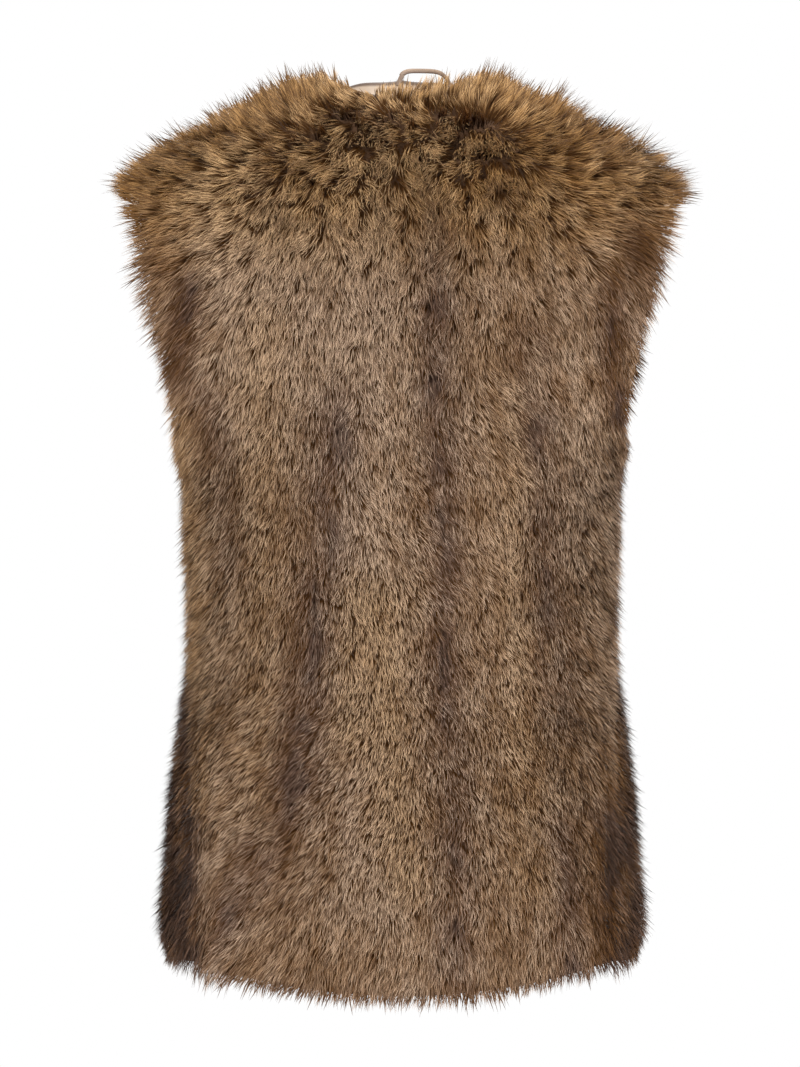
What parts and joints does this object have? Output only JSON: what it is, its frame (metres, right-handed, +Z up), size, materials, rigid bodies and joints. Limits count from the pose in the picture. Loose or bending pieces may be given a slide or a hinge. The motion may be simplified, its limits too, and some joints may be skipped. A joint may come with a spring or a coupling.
{
  "type": "faux fur vest",
  "caption": "Sleeveless, collarless faux fur vest, hollow and filled out as worn, with open neck, hem and armholes and a hanger loop at the nape.",
  "frame": {"origin": "between the shoulders on the centre line, level with the middle of the shoulder seams, where a wearer's shoulders carry the vest", "axes": "+Z up the wearer's body; the fronts face -Y and the back +Y; +X is the wearer's left"},
  "size_m": [0.4315, 0.2666, 0.6854],
  "materials": {
    "fur": "long soft pile, brown with darker vertical bands",
    "satin": "smooth beige satin lining",
    "ribbon": "satin ribbon"
  },
  "bodies": {
    "root": {"back": "fur", "left_front": "fur", "right_front": "fur", "back_lining": "satin", "hanger_loop": "ribbon"}
  },
  "joints": []
}
